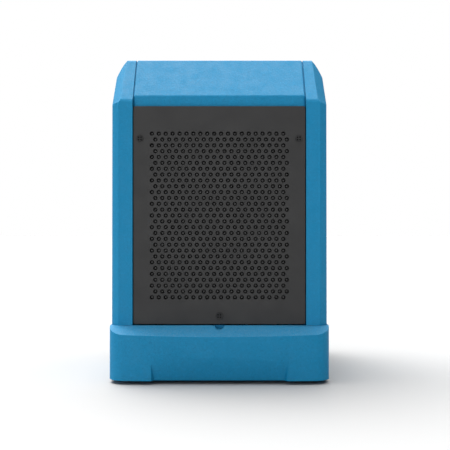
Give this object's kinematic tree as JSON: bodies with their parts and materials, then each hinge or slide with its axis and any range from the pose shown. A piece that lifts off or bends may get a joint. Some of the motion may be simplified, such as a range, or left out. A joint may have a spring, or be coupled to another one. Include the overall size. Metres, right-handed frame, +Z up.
{
  "type": "dehumidifier",
  "caption": "Wheeled commercial dehumidifier with a sloped moulded case, perforated intake panel, coils, compressor, ducted fan outlet and pull-up handle.",
  "frame": {"origin": "floor level, under the centre of the part's box", "axes": "+Z up, +Y towards the air outlet and the wheels, the air intake faces -Y"},
  "size_m": [0.3794, 0.45, 0.5689],
  "materials": {
    "casing_blue": "blue moulded polyethylene with a fine grain",
    "grille_charcoal": "dark grey powder coat, matt",
    "dark_plastic": "dark grey moulded plastic",
    "rubber": "black rubber",
    "tyre_rubber": "black solid tyre",
    "steel": "bright plated steel",
    "aluminium": "mill finish aluminium",
    "copper": "bare copper tube",
    "compressor_black": "black enamel",
    "filter_media": "dark pleated filter fabric",
    "galvanised": "galvanised sheet",
    "light_plastic": "light grey moulded plastic",
    "wheel_plastic": "dark grey wheel centre",
    "board_green": "green circuit board",
    "display_glass": "smoked display window"
  },
  "bodies": {
    "chassis": {"accumulator": "compressor_black", "axle": "steel", "axle_cap_left": "dark_plastic", "axle_cap_right": "dark_plastic", "base_tub": "casing_blue", "circuit_board": "board_green", "coil_bracket_left": "galvanised", "coil_bracket_right": "galvanised", "compressor": "compressor_black", "compressor_mount": "rubber", "condenser_coil": "aluminium", "control_plate": "dark_plastic", "cord_gland": "dark_plastic", "discharge_line": "copper", "display_window": "display_glass", "drain_fitting": "dark_plastic", "drip_tray": "dark_plastic", "electrical_tray": "galvanised", "evaporator_coil": "aluminium", "evaporator_header": "copper", "fan_motor": "galvanised", "fan_shroud": "dark_plastic", "filter_channel": "dark_plastic", "foot_left": "rubber", "foot_right": "rubber", "handle_guide_left": "dark_plastic", "handle_guide_right": "dark_plastic", "motor_bracket": "steel", "outlet_collar": "dark_plastic", "outlet_guard": "steel", "pump_reservoir": "light_plastic", "rear_panel": "grille_charcoal", "rear_panel_screw_1": "steel", "rear_panel_screw_2": "steel", "rear_panel_screw_3": "steel", "rear_panel_screw_4": "steel", "run_capacitor": "aluminium", "side_shell_left": "casing_blue", "side_shell_right": "casing_blue", "suction_line": "copper", "top_cover": "casing_blue", "tray_hose": "rubber"},
    "grille": {"intake_grille": "grille_charcoal"},
    "fastener_left": {"grille_fastener_left": "dark_plastic"},
    "fastener_right": {"grille_fastener_right": "dark_plastic"},
    "fastener_bottom": {"grille_fastener_bottom": "dark_plastic"},
    "filter": {"filter_frame": "dark_plastic", "filter_media": "filter_media"},
    "fan": {"fan_rotor": "dark_plastic"},
    "float": {"float_arm": "dark_plastic"},
    "mode_button": {"button_mode": "light_plastic"},
    "down_button": {"button_down": "light_plastic"},
    "up_button": {"button_up": "light_plastic"},
    "rocker": {"power_switch": "dark_plastic"},
    "wheel_left": {"wheel_left": "wheel_plastic", "tyre_left": "tyre_rubber"},
    "wheel_right": {"wheel_right": "wheel_plastic", "tyre_right": "tyre_rubber"},
    "handle": {"handle_frame": "steel", "handle_grip": "rubber"}
  },
  "joints": [
    {"name": "grille_lift_off", "type": "slide", "parent": "chassis", "child": "grille", "axis": [0, -1, 0], "range_m": [0, 0.2]},
    {"name": "filter_draw", "type": "slide", "parent": "chassis", "child": "filter", "axis": [0, -1, 0], "range_m": [0, 0.1]},
    {"name": "fastener_left_turn", "type": "hinge", "parent": "grille", "child": "fastener_left", "pos_m": [-0.1377, -0.1883, 0.4214], "axis": [0, 1, 0], "range_deg": [0, 90]},
    {"name": "fastener_right_turn", "type": "hinge", "parent": "grille", "child": "fastener_right", "pos_m": [0.1377, -0.1883, 0.4214], "axis": [0, 1, 0], "range_deg": [0, 90]},
    {"name": "fastener_bottom_turn", "type": "hinge", "parent": "grille", "child": "fastener_bottom", "pos_m": [0, -0.1883, 0.1138], "axis": [0, 1, 0], "range_deg": [0, 90]},
    {"name": "fan_spin", "type": "hinge", "parent": "chassis", "child": "fan", "pos_m": [0, 0.02, 0.33], "axis": [0, 1, 0], "continuous": true},
    {"name": "float_swing", "type": "hinge", "parent": "chassis", "child": "float", "pos_m": [0.04, 0.076, 0.07], "axis": [0, -1, 0], "range_deg": [-18, 14]},
    {"name": "mode_press", "type": "slide", "parent": "chassis", "child": "mode_button", "axis": [0, 0, -1], "range_m": [0, 0.0012], "stiffness_N_per_m": 400},
    {"name": "down_press", "type": "slide", "parent": "chassis", "child": "down_button", "axis": [0, 0, -1], "range_m": [0, 0.0012], "stiffness_N_per_m": 400},
    {"name": "up_press", "type": "slide", "parent": "chassis", "child": "up_button", "axis": [0, 0, -1], "range_m": [0, 0.0012], "stiffness_N_per_m": 400},
    {"name": "power_rock", "type": "hinge", "parent": "chassis", "child": "rocker", "pos_m": [0.05, -0.052, 0.5614], "axis": [1, 0, 0], "range_deg": [-9, 9]},
    {"name": "wheel_left_spin", "type": "hinge", "parent": "chassis", "child": "wheel_left", "pos_m": [-0.158, 0.14, 0.075], "axis": [1, 0, 0], "continuous": true},
    {"name": "wheel_right_spin", "type": "hinge", "parent": "chassis", "child": "wheel_right", "pos_m": [0.158, 0.14, 0.075], "axis": [1, 0, 0], "continuous": true},
    {"name": "handle_extend", "type": "slide", "parent": "chassis", "child": "handle", "axis": [0, 0, 1], "range_m": [0, 0.25]}
  ],
  "couplings": [
    {"joint": "filter_draw", "follows": "grille_lift_off", "ratio": 0.5}
  ]
}
